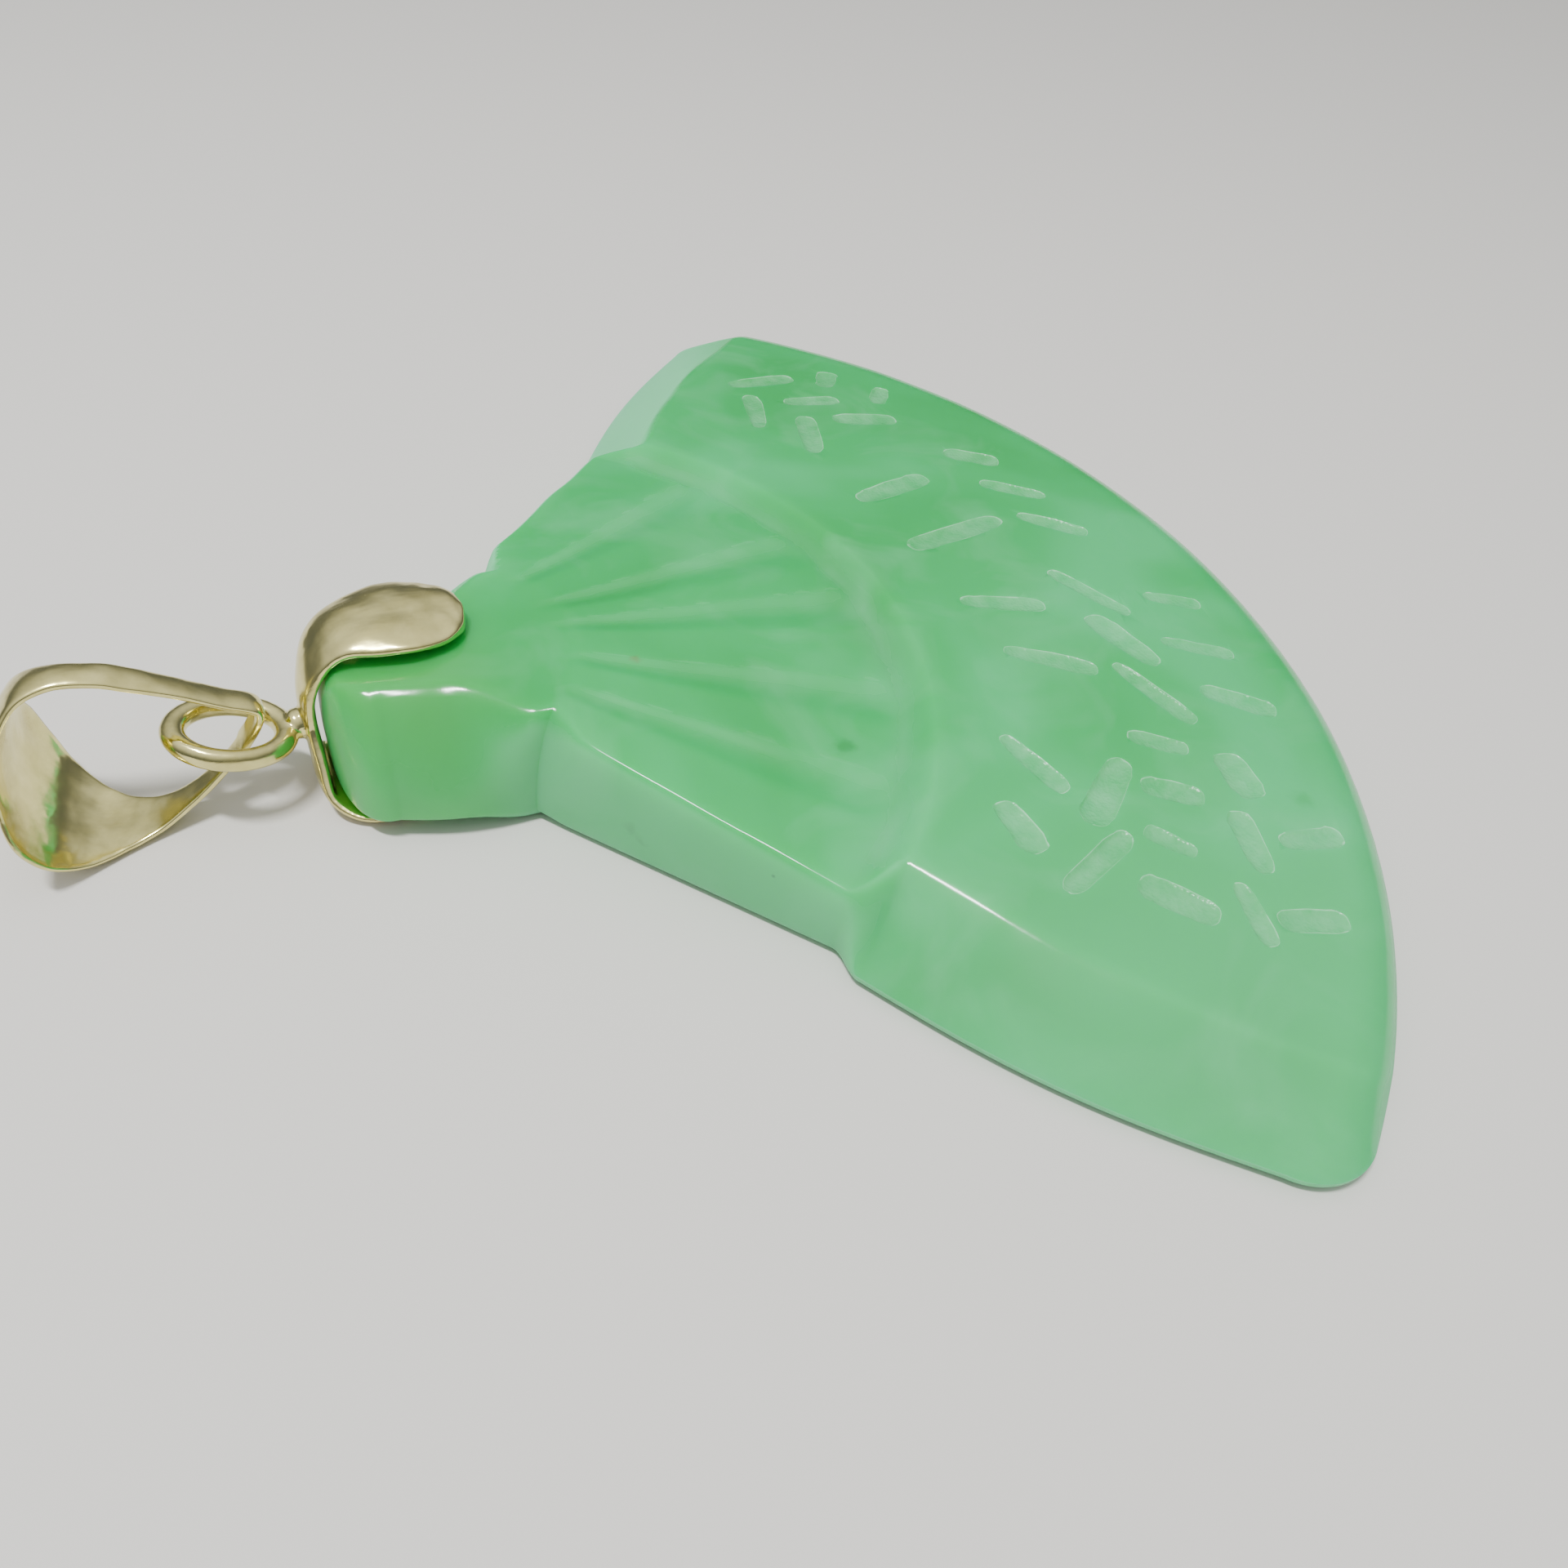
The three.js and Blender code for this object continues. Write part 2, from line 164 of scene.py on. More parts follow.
def shapedGrid(name, along, around, place):
    # a grid primitive with each of its points moved on to the piece's own surface
    deselectAll()
    bpy.ops.mesh.primitive_grid_add(
        x_subdivisions=along, y_subdivisions=around, size=1.0, location=(0, 0, 0))
    piece = bpy.context.object
    piece.name = name
    for vertex in piece.data.vertices:
        u = round((vertex.co.x + 0.5) * along)
        v = round((vertex.co.y + 0.5) * around)
        vertex.co = place(u, v)
    mergeAndTurnOut(piece)
    return piece


def finishPiece(piece, node, smoothDegrees):
    # to metres, on the row's own frame, with its place in its mesh
    makeActive(piece)
    piece.location = neckPlace * mm
    piece.scale = (mm, mm, mm)
    bpy.ops.object.transform_apply(location=True, rotation=True, scale=True)
    bpy.ops.object.shade_smooth_by_angle(angle=math.radians(smoothDegrees))
    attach(piece, "root")
    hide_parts(node)
    triangles = sum(len(face.vertices) - 2 for face in piece.data.polygons)
    print(piece.name, "finished,", triangles, "triangles")


def splinePoint(points, t):
    # a smooth curve through evenly counted stations, t from 0 to 1
    spot = clamp01(t) * (len(points) - 1)
    i = min(int(spot), len(points) - 2)
    f = spot - i
    a, b = np.array(points[i]), np.array(points[i + 1])
    before = np.array(points[i - 1]) if i > 0 else 2 * a - b
    after = np.array(points[i + 2]) if i + 2 < len(points) else 2 * b - a
    return 0.5 * (2 * a + (b - before) * f + (2 * before - 5 * a + 4 * b - after) * f ** 2
                  + (3 * a - before - 3 * b + after) * f ** 3)


# Materials
jadeLook = {
    "deep": "#00AA4E",
    "clear": "#0CB45A",
    "pale": "#30C070",
    "cloud": "#70D096",
    "knob": "#3EA748",
    "frostAndSheen": "#88DAA2",
    "cutRimGlint": "#BCF2CC",
    "patchMm": 7.0,
    "patchStops": (0.34, 0.5, 0.7),
    "cloudMm": 2.6,
    "cloudShare": 0.35,
    "milkyNear": (-5.0, -13.0, 0.3),        # mm across the fan where it starts and ends, share
    "knobGreen": (0.8, -1.8, 0.75),         # mm from the neck where it starts and ends, share
    "speckRagMm": 0.4,                      # how far the specks' edges stray, and how finely
    "speckStrayMm": 0.35,
    "polishMm": 1.2,
    "roughness": (0.12, 0.2),
    "markDulls": 2.2,                       # roughness that a full wheel mark adds
    "sideDulls": 0.34,                      # roughness that a full side adds
    # painted sheen: how far the steep sides are mixed toward the pale cloud colour
    "sidePaleSheen": 0.45,
    "rippleMm": 0.9,
    "grainMm": 0.22,
    "ior": 1.66,
    "specular": 0.3,
    "glow": 0.85,
    "glowMm": 1.4,
    "glowColours": (0.5, 1.0, 0.6),
    "bruiseMm": 0.5,
    "bruisePale": (0.1, 0.45),
    "crumbMm": 0.09,
    "chatterMm": 0.14,
    "cutRoughness": 0.27,
    "cutGlow": 0.75,
    "cutGlowMm": 0.9,
}

# x, y on the stone's axes, height, radius in mm, colour, how strong
jadeSpecks = [
    ((6.53, -4.75, 1.87), 0.22, "#00903C", 0.7),
    ((1.65, -4.77, 1.05), 0.17, "#04883C", 0.7),
    ((1.85, -4.95, 0.86), 0.13, "#04883C", 0.65),
    ((2.93, -1.38, 2.55), 0.12, "#6E7A45", 0.6),
    ((3.77, -7.21, 1.36), 0.05, "#1E2A20", 0.95),
    ((15.70, -9.10, 1.40), 0.26, "#00A044", 0.4),
]


def jadeColour(tree):
    # green in soft patches and clouds, milkier at the near edge, yellower in the knob, with specks
    where = addNode(tree, "ShaderNodeTexCoord").outputs["Object"]
    patch = addNode(tree, "ShaderNodeTexNoise", None, {
        "Vector": where, "Scale": perSize(jadeLook["patchMm"]),
        "Detail": 2.5, "Roughness": 0.5, "Distortion": 0.6})
    ramp = addNode(tree, "ShaderNodeValToRGB", None, {"Fac": patch.outputs["Fac"]})
    low, middle, high = jadeLook["patchStops"]
    ramp.color_ramp.interpolation = "EASE"
    ramp.color_ramp.elements[0].position = low
    ramp.color_ramp.elements[0].color = linear(jadeLook["deep"])
    ramp.color_ramp.elements[1].position = high
    ramp.color_ramp.elements[1].color = linear(jadeLook["pale"])
    ramp.color_ramp.elements.new(middle).color = linear(jadeLook["clear"])
    cloud = addNode(tree, "ShaderNodeTexNoise", None, {
        "Vector": where, "Scale": perSize(jadeLook["cloudMm"]), "Detail": 3.0, "Distortion": 0.8})
    cloudy = addNode(tree, "ShaderNodeMapRange", None, {
        "Value": cloud.outputs["Fac"], "From Min": 0.5, "From Max": 0.8,
        "To Max": jadeLook["cloudShare"]})
    colour = addNode(tree, "ShaderNodeMixRGB", None, {
        "Fac": cloudy.outputs["Result"], "Color1": ramp.outputs["Color"],
        "Color2": linear(jadeLook["cloud"])})
    axes = addNode(tree, "ShaderNodeSeparateXYZ", None, {"Vector": where})
    start, end, share = jadeLook["milkyNear"]
    toNear = addNode(tree, "ShaderNodeMapRange", {"interpolation_type": "SMOOTHSTEP"}, {
        "Value": axes.outputs["Y"], "From Min": start * mm, "From Max": end * mm, "To Max": share})
    colour = addNode(tree, "ShaderNodeMixRGB", None, {
        "Fac": toNear.outputs["Result"], "Color1": colour.outputs["Color"],
        "Color2": linear(jadeLook["cloud"])})
    start, end, share = jadeLook["knobGreen"]
    toKnob = addNode(tree, "ShaderNodeMapRange", {"interpolation_type": "SMOOTHSTEP"}, {
        "Value": axes.outputs["X"], "From Min": (neckPlace.x + start) * mm,
        "From Max": (neckPlace.x + end) * mm, "To Max": share})
    colour = addNode(tree, "ShaderNodeMixRGB", None, {
        "Fac": toKnob.outputs["Result"], "Color1": colour.outputs["Color"],
        "Color2": linear(jadeLook["knob"])})
    rag = jadeLook["speckRagMm"] * mm
    wander = addNode(tree, "ShaderNodeTexNoise", None, {
        "Vector": where, "Scale": perSize(jadeLook["speckStrayMm"]), "Detail": 2.0})
    ragged = addNode(tree, "ShaderNodeMixRGB", {"blend_type": "ADD"}, {
        "Fac": rag, "Color1": where, "Color2": wander.outputs["Color"]})
    for spot, radius, tint, strength in jadeSpecks:
        centre = (Vector(spot) + neckPlace) * mm + Vector((rag / 2, rag / 2, rag / 2))
        reach = addNode(tree, "ShaderNodeVectorMath", {"operation": "DISTANCE"}, {
            0: ragged.outputs["Color"], 1: centre})
        here = addNode(tree, "ShaderNodeMapRange", {"interpolation_type": "SMOOTHSTEP"}, {
            "Value": reach.outputs["Value"], "From Min": radius * 1.5 * mm,
            "From Max": radius * 0.3 * mm, "To Max": strength})
        colour = addNode(tree, "ShaderNodeMixRGB", None, {
            "Fac": here.outputs["Result"], "Color1": colour.outputs["Color"],
            "Color2": linear(tint)})
    return where, colour.outputs["Color"]


def polishedJade():
    # jadeite, ground and polished: a clear waxy gloss over mottled green with light glowing
    # through it. It is paler and duller where the wheel marked it, with a painted pale sheen on the
    # fold walls; its steep sides are duller and painted paler, a painted sheen.
    material, tree = newMaterial("polishedJadeite")
    where, colour = jadeColour(tree)
    markAndSheen = addNode(tree, "ShaderNodeAttribute", {"attribute_name": "wheelMarkAndSheen"}).outputs["Fac"]
    side = addNode(tree, "ShaderNodeAttribute", {"attribute_name": "sideFace"}).outputs["Fac"]
    # painted sheen: the steep sides are mixed toward the pale cloud colour
    paleSheen = addNode(tree, "ShaderNodeMath", {"operation": "MULTIPLY"}, {
        0: side, 1: jadeLook["sidePaleSheen"]})
    sheened = addNode(tree, "ShaderNodeMixRGB", None, {
        "Fac": paleSheen.outputs["Value"], "Color1": colour, "Color2": linear(jadeLook["cloud"])})
    tint = addNode(tree, "ShaderNodeMixRGB", None, {
        "Fac": markAndSheen, "Color1": sheened.outputs["Color"], "Color2": linear(jadeLook["frostAndSheen"])})
    polish = addNode(tree, "ShaderNodeTexNoise", None, {
        "Vector": where, "Scale": perSize(jadeLook["polishMm"]), "Detail": 3.0})
    smoothest, dullest = jadeLook["roughness"]
    rough = addNode(tree, "ShaderNodeMapRange", None, {
        "Value": polish.outputs["Fac"], "From Min": 0.35, "From Max": 0.7,
        "To Min": smoothest, "To Max": dullest})
    marked = addNode(tree, "ShaderNodeMath", {"operation": "MULTIPLY_ADD"}, {
        0: markAndSheen, 1: jadeLook["markDulls"], 2: rough.outputs["Result"]})
    duller = addNode(tree, "ShaderNodeMath", {"operation": "MULTIPLY_ADD"}, {
        0: side, 1: jadeLook["sideDulls"], 2: marked.outputs["Value"]})
    ripple = addNode(tree, "ShaderNodeTexNoise", None, {
        "Vector": where, "Scale": perSize(jadeLook["rippleMm"]), "Detail": 2.0})
    grain = addNode(tree, "ShaderNodeTexNoise", None, {
        "Vector": where, "Scale": perSize(jadeLook["grainMm"]), "Detail": 2.0})
    wave = addNode(tree, "ShaderNodeBump", None, {
        "Height": ripple.outputs["Fac"], "Strength": 0.3, "Distance": 0.00002})
    fine = addNode(tree, "ShaderNodeBump", None, {
        "Height": grain.outputs["Fac"], "Strength": 0.15, "Distance": 0.000006,
        "Normal": wave.outputs["Normal"]})
    shader = addNode(tree, "ShaderNodeBsdfPrincipled", {"subsurface_method": "RANDOM_WALK"}, {
        "Base Color": tint.outputs["Color"], "Roughness": duller.outputs["Value"],
        "IOR": jadeLook["ior"], "Specular IOR Level": jadeLook["specular"],
        "Subsurface Weight": jadeLook["glow"], "Subsurface Radius": jadeLook["glowColours"],
        "Subsurface Scale": jadeLook["glowMm"] * mm, "Normal": fine.outputs["Normal"]})
    addNode(tree, "ShaderNodeOutputMaterial", None, {"Surface": shader.outputs["BSDF"]})
    return material


def frostedJade():
    # the same stone where a small wheel has cut it and nobody polished it: paler and matt,
    # with a painted pale highlight in patches along the rim of the cut, and crumbs that glint
    material, tree = newMaterial("wheelCutJadeite")
    where, colour = jadeColour(tree)
    bruise = addNode(tree, "ShaderNodeTexNoise", None, {
        "Vector": where, "Scale": perSize(jadeLook["bruiseMm"]), "Detail": 4.0})
    least, most = jadeLook["bruisePale"]
    pale = addNode(tree, "ShaderNodeMapRange", None, {
        "Value": bruise.outputs["Fac"], "From Min": 0.3, "From Max": 0.7,
        "To Min": least, "To Max": most})
    tint = addNode(tree, "ShaderNodeMixRGB", None, {
        "Fac": pale.outputs["Result"], "Color1": colour, "Color2": linear(jadeLook["frostAndSheen"])})
    # painted highlight: the cut's rim mixed toward a pale colour, in patches
    rim = addNode(tree, "ShaderNodeAttribute", {"attribute_name": "cutRimGlint"}).outputs["Fac"]
    rimGlint = addNode(tree, "ShaderNodeMath", {"operation": "MULTIPLY"}, {
        0: rim, 1: bruise.outputs["Fac"]})
    tint = addNode(tree, "ShaderNodeMixRGB", None, {
        "Fac": rimGlint.outputs["Value"], "Color1": tint.outputs["Color"],
        "Color2": linear(jadeLook["cutRimGlint"])})
    crumbs = addNode(tree, "ShaderNodeTexVoronoi", None, {
        "Vector": where, "Scale": perSize(jadeLook["crumbMm"]), "Randomness": 1.0})
    crumbly = addNode(tree, "ShaderNodeBump", None, {
        "Height": crumbs.outputs["Distance"], "Strength": 0.35, "Distance": 0.00003})
    chatter = addNode(tree, "ShaderNodeTexNoise", None, {
        "Vector": where, "Scale": perSize(jadeLook["chatterMm"]), "Detail": 3.0})
    bump = addNode(tree, "ShaderNodeBump", None, {
        "Height": chatter.outputs["Fac"], "Strength": 0.5, "Distance": 0.00004,
        "Normal": crumbly.outputs["Normal"]})
    shader = addNode(tree, "ShaderNodeBsdfPrincipled", {"subsurface_method": "RANDOM_WALK"}, {
        "Base Color": tint.outputs["Color"], "Roughness": jadeLook["cutRoughness"],
        "IOR": jadeLook["ior"], "Specular IOR Level": jadeLook["specular"],
        "Subsurface Weight": jadeLook["cutGlow"], "Subsurface Radius": jadeLook["glowColours"],
        "Subsurface Scale": jadeLook["cutGlowMm"] * mm, "Normal": bump.outputs["Normal"]})
    addNode(tree, "ShaderNodeOutputMaterial", None, {"Surface": shader.outputs["BSDF"]})
    return material


goldLook = {
    "fresh": "#FFF6B0",
    "worn": "#B8AE68",
    "wearMm": 0.7,
    "roughness": (0.1, 0.28),
    "dentMm": 0.55,
    "scratchMm": 0.09,
    "scratchStretch": (1.0, 7.0, 3.0),
}


def polishedGold():
    # 14 carat gold, cast, bent and buffed: mirror bright with soft dull places and hair scratches
    material, tree = newMaterial("buffedYellowGold")
    where = addNode(tree, "ShaderNodeTexCoord").outputs["Object"]
    wear = addNode(tree, "ShaderNodeTexNoise", None, {
        "Vector": where, "Scale": perSize(goldLook["wearMm"]), "Detail": 4.0, "Roughness": 0.6})
    tint = addNode(tree, "ShaderNodeMixRGB", None, {
        "Fac": wear.outputs["Fac"], "Color1": linear(goldLook["fresh"]),
        "Color2": linear(goldLook["worn"])})
    smoothest, dullest = goldLook["roughness"]
    rough = addNode(tree, "ShaderNodeMapRange", None, {
        "Value": wear.outputs["Fac"], "From Min": 0.3, "From Max": 0.7,
        "To Min": smoothest, "To Max": dullest})
    stretch = goldLook["scratchStretch"]
    squeezed = addNode(tree, "ShaderNodeMapping", None, {
        "Vector": where, "Rotation": (0.3, 0.2, 0.5), "Scale": stretch})
    scratch = addNode(tree, "ShaderNodeTexNoise", None, {
        "Vector": squeezed.outputs["Vector"],
        "Scale": perSize(goldLook["scratchMm"] * max(stretch)), "Detail": 3.0})
    dent = addNode(tree, "ShaderNodeTexNoise", None, {
        "Vector": where, "Scale": perSize(goldLook["dentMm"]), "Detail": 1.5})
    dented = addNode(tree, "ShaderNodeBump", None, {
        "Height": dent.outputs["Fac"], "Strength": 0.6, "Distance": 0.00004})
    scratched = addNode(tree, "ShaderNodeBump", None, {
        "Height": scratch.outputs["Fac"], "Strength": 0.15, "Distance": 0.00001,
        "Normal": dented.outputs["Normal"]})
    shader = addNode(tree, "ShaderNodeBsdfPrincipled", None, {
        "Base Color": tint.outputs["Color"], "Metallic": 1.0,
        "Roughness": rough.outputs["Result"], "Normal": scratched.outputs["Normal"]})
    addNode(tree, "ShaderNodeOutputMaterial", None, {"Surface": shader.outputs["BSDF"]})
    return material


jadePolished = polishedJade()
jadeFrosted = frostedJade()
gold = polishedGold()
print("materials ready")


# The carved stone
stone = {
    "pivotX": -1.42,
    "spread": math.radians(50.7),
    "ribEdgeOut": 0.64,
    "leafEdgeOut": 1.12,
    "leafEdgeBulge": 0.35,
    "stepStart": 10.35,
    "stepEnd": 11.2,
    "roundCentreX": -0.15,
    "roundRadius": 20.15,
    "cornerRadius": 1.4,
    "knobEndX": -3.64,
    "knobShoulderX": -2.6,
    "knobHalfWidth": 2.5,
    "knobBulge": 0.16,
    "knobCornerPower": 2.4,
    "knobWaist": 0.16,
    "knobRowBow": 0.1,
    "notchX": -0.08,
    "notchHalfWidth": 2.95,
    "knobTop": 2.95,
    "neckTop": 2.77,
    "neckReach": 3.4,
    "ribEndTop": 1.71,
    "leafStartTop": 2.02,
    "leafEndTop": 1.3,
    "topStep": (10.4, 11.3),
    "fanEdgeHeight": 0.35,
    "knobEdgeHeight": 0.6,
    "knobUnderside": 0.42,
    "sideSlope": (1.65, 0.4, 2.0),          # knob, ribs, leaf
    "sideFullness": (1.4, 2.1, 1.05),
    "widestSlopeShare": 0.75,
    "knobEndSlope": 0.7,
    "knobEndFullness": 3.0,
    "roundSlope": 1.3,
    "roundFullness": 2.2,
    "undersideRounding": 0.35,
    "notchZone": 0.6,                       # how far the notch has gone from knob to ribs
    "zoneRun": 1.2,
    "notchRun": 0.8,
    "closeReach": (2.0, 0.6, 2.2),          # mm in from an edge that are closely meshed
    "rows": {"knobEnd": 26, "knobSide": 22, "notch": 6, "ribs": 30, "step": 14, "leaf": 34,
             "corner": 30},
    "edgeSteps": 28,
    "ridgeSteps": (0.56, 0.6, 0.64, 0.68, 0.72),
    "waveHeight": 0.03,                     # the slow unevenness that handwork leaves
    "waveMm": 2.6,
    "ridgeWander": 0.06,
    "ridgeWanderMm": 1.7,
    "sideShare": (0.45, 1.0, 1.9),          # how dull the sides are, and how much painted pale sheen they get: knob, near side, far side
    "steepFrom": (0.4, 0.86),               # the normal's height on a full side: near, far
    "steepSpan": (0.35, 0.1),
}

# Each fold drops in a short wall that faces the near side and rises again in a long gentle one.
# The same wheel has drawn a line of straight strokes where the ribs meet the leaf.
folds = {
    "angles": (-38.2, -20.7, -0.7, 14.0, 33.7),
    "reach": (2.6, 10.45),
    "depth": (0.05, 0.13),
    "wall": (0.18, 0.85),
    "gentle": (0.2, 1.0),
    "scoreReach": 10.55,
    "scoreHalf": 0.22,
    "scoreDepth": 0.032,
    "scoreEnd": 48.0,
    "crestMark": 0.19,                      # how matt and pale each is, 0 to 1: left so by the wheel, but the wall's paleness is painted sheen
    "wallMattAndSheen": 0.13,
    "scoreMark": 0.11,
    "crestAt": (0.97, 0.07),                # middle and width, as shares of the wall
    "sheenBandAt": (0.62, 0.34),
    "scoreAt": (0.1, 0.28),                 # middle and width in mm
    "wander": 0.03,
    "fadeIn": 1.6,
    "fadeOut": (0.5, 0.7),
    # where the mesh gathers, as shares of the gentle side and of the wall
    "gentleSteps": (1.25, 1.0, 0.75, 0.5, 0.3, 0.15, 0.05),
    "wallSteps": (0.03, 0.12, 0.25, 0.4, 0.55, 0.7, 0.8, 0.88, 0.95, 1.05, 1.25),
}


def rise(distance, width, fullness):
    # from 0 at an edge to 1 at the width, the fuller the rounder
    t = clamp01(distance / width)
    return (1 - (1 - t) ** fullness) ** (1 / fullness)


def fanEdgePoint(along, leafLength):
    onLeaf = clamp01((along - stone["stepEnd"]) / leafLength)
    step = smooth((along - stone["stepStart"]) / (stone["stepEnd"] - stone["stepStart"]))
    out = mix(stone["ribEdgeOut"], stone["leafEdgeOut"], step)
    out += stone["leafEdgeBulge"] * math.sin(math.pi * onLeaf)
    c, s = math.cos(stone["spread"]), math.sin(stone["spread"])
    return stone["pivotX"] + along * c - out * s, along * s + out * c


def cornerArc():
    ahead = Vector((math.cos(stone["spread"]), math.sin(stone["spread"])))
    outward = Vector((-ahead.y, ahead.x))
    base = Vector((stone["pivotX"] - stone["roundCentreX"], 0.0))
    base += outward * (stone["leafEdgeOut"] - stone["cornerRadius"])
    half = base.dot(ahead)
    reach = stone["roundRadius"] - stone["cornerRadius"]
    along = -half + math.sqrt(half ** 2 - base.length_squared + reach ** 2)
    toRound = base + ahead * along
    centre = toRound + Vector((stone["roundCentreX"], 0.0))
    return centre, along, math.atan2(outward.y, outward.x), math.atan2(toRound.y, toRound.x)


def stoneRows():
    # each row: where it meets the far edge, where it crosses the middle, and its zone,
    # which is 0 on the knob, 1 on the ribs and 2 on the leaf
    pivotX, bow, count = stone["pivotX"], stone["knobRowBow"], stone["rows"]
    rows = []
    power = 2 / stone["knobCornerPower"]
    knobLength = stone["knobShoulderX"] - stone["knobEndX"]
    for i in range(count["knobEnd"]):
        turn = i / count["knobEnd"] * math.pi / 2
        x = stone["knobShoulderX"] - knobLength * math.cos(turn) ** power
        y = stone["knobHalfWidth"] * math.sin(turn) ** power
        rows.append([x, y, x + bow * math.sin(turn), 0.0])
    notchMiddle = pivotX + math.hypot(stone["notchX"] - pivotX, stone["notchHalfWidth"])
    notchBow = notchMiddle - stone["notchX"]
    notchZone = stone["notchZone"]
    for i in range(count["knobSide"]):
        t = i / count["knobSide"]
        x = mix(stone["knobShoulderX"], stone["notchX"], t)
        y = mix(stone["knobHalfWidth"], stone["notchHalfWidth"], t)
        y += stone["knobBulge"] * math.sin(math.pi * t)
        rows.append([x, y, x + mix(bow, notchBow, t * t), smooth((t - 0.4) / 0.6) * notchZone])
    centre, cornerAlong, startTurn, endTurn = cornerArc()
    notchAlong = stone["notchHalfWidth"] - stone["ribEdgeOut"] * math.cos(stone["spread"])
    notchAlong /= math.sin(stone["spread"])
    stops = [notchAlong + stone["notchRun"] * i / count["notch"] for i in range(count["notch"])]
    marks = (notchAlong + stone["notchRun"], stone["stepStart"], stone["stepEnd"], cornerAlong)
    for start, end, key in zip(marks, marks[1:], ("ribs", "step", "leaf")):
        stops += [mix(start, end, i / count[key]) for i in range(count[key])]
    stops.append(cornerAlong)
    for along in stops:
        x, y = fanEdgePoint(along, cornerAlong - stone["stepEnd"])
        zone = 1 + smooth((along - stone["stepStart"]) / (stone["stepEnd"] - stone["stepStart"]))
        if along < stone["stepStart"]:
            zone = mix(notchZone, 1.0, smooth((along - notchAlong) / stone["zoneRun"]))
        rows.append([x, y, pivotX + math.hypot(x - pivotX, y), zone])
    for i in range(1, count["corner"] + 1):
        turn = mix(startTurn, endTurn, 1 - (1 - i / count["corner"]) ** 1.3)
        x = centre.x + stone["cornerRadius"] * math.cos(turn)
        y = centre.y + stone["cornerRadius"] * math.sin(turn)
        rows.append([x, y, pivotX + math.hypot(x - pivotX, y), 2.0])
    # the last rows open out from the pivot's circles to the leaf's own round edge
    last = rows[-1][2]
    shortfall = stone["roundCentreX"] + stone["roundRadius"] - last
    leafMiddle = pivotX + stone["stepEnd"]
    for row in rows:
        row[2] += shortfall * smooth((row[2] - leafMiddle) / (last - leafMiddle))
    return rows


def rowArc(row):
    x, y, middle = row[:3]
    sag = max(middle - x, 1e-3)
    radius = (y ** 2 + sag ** 2) / (2 * sag)
    return radius, math.atan2(y, x - (middle - radius))


def byZone(values, zone):
    # knob, ribs and leaf run softly into each other
    return mix(values[0], values[1], zone) if zone < 1 else mix(values[1], values[2], zone - 1)


def carvedTop(x, y):
    # how high the stone stands before the wheel's work, away from its edges
    reach, neckReach = math.hypot(x - stone["pivotX"], y), stone["neckReach"]
    if reach < neckReach:
        ribs = mix(stone["knobTop"], stone["neckTop"], smooth(reach / neckReach))
    else:
        onRibs = (reach - neckReach) / (stone["stepStart"] - neckReach)
        ribs = mix(stone["neckTop"], stone["ribEndTop"], onRibs)
    leafSpan = stone["roundRadius"] - stone["stepEnd"]
    leaf = mix(stone["leafStartTop"], stone["leafEndTop"], (reach - stone["stepEnd"]) / leafSpan)
    stepStart, stepEnd = stone["topStep"]
    return mix(ribs, leaf, smooth((reach - stepStart) / (stepEnd - stepStart)))


def handWave(x, y, size, layer):
    # a slow random swell, -1 to 1, always the same for the same place
    return noise.noise(Vector((x / size, y / size, layer)))


def foldSizes(reach):
    start, end = folds["reach"]
    along = clamp01((reach - start) / (end - start))
    return [mix(*folds[key], along) for key in ("depth", "wall", "gentle")]


def bell(value, middle, width):
    return math.exp(-((value - middle) / width) ** 2)


def wheelWork(x, y):
    # how deep the wheel went at a place, and how matt and pale it is there: the wheel left it so,
    # except the pale sheen on each fold's wall, which is painted
    reach = math.hypot(x - stone["pivotX"], y)
    degrees = math.degrees(math.atan2(y, x - stone["pivotX"]))
    start, end = folds["reach"]
    early, fadeRun = folds["fadeOut"]
    fade = smooth((reach - start) / folds["fadeIn"]) * (1 - smooth((reach - end + early) / fadeRun))
    depth, wall, gentle = foldSizes(reach)
    cut, markAndSheen = 0.0, 0.0
    for angle in folds["angles"]:
        off = reach * math.sin(math.radians(degrees - angle))
        off += folds["wander"] * handWave(x, y, 1.3, 3.0)
        t = off / wall
        if -0.2 <= t < 1.5:
            cut = max(cut, depth * fade * (1 - smooth(t)) if t >= 0 else 0.0)
            crest = bell(t, *folds["crestAt"]) * smooth(0.2 + 2.2 * handWave(x, y, 0.45, 9.0))
            # painted sheen: a pale stripe on each fold's wall, where it faces the light
            sheenBand = bell(t, *folds["sheenBandAt"]) * (0.9 + 0.5 * handWave(x, y, 1.2, 7.0))
            markAndSheen = max(markAndSheen, fade * max(folds["crestMark"] * crest, folds["wallMattAndSheen"] * sheenBand))
        if -gentle < off < 0:
            cut = max(cut, depth * fade * smooth(1 + off / gentle))
    stops = (-folds["scoreEnd"],) + folds["angles"] + (folds["scoreEnd"],)
    for low, high in zip(stops, stops[1:]):
        if low <= degrees <= high:
            chord = folds["scoreReach"] * math.cos(math.radians((high - low) / 2))
            off = reach * math.cos(math.radians(degrees - (low + high) / 2)) - chord
            cut += folds["scoreDepth"] * bell(off, 0.0, folds["scoreHalf"])
            waver = 0.8 + 0.6 * handWave(x, y, 1.0, 5.0)
            markAndSheen = max(markAndSheen, folds["scoreMark"] * bell(off, *folds["scoreAt"]) * waver)
    return cut, markAndSheen


def sideReach(row, half):
    # how far in the sloped side reaches, with the slight waist of the knob
    onKnob = clamp01((row[0] - stone["knobShoulderX"]) / (stone["notchX"] - stone["knobShoulderX"]))
    waist = stone["knobWaist"] * math.sin(math.pi * onKnob) ** 2
    slope = byZone(stone["sideSlope"], row[3]) + waist
    return max(min(slope, stone["widestSlopeShare"] * half), 1e-3)


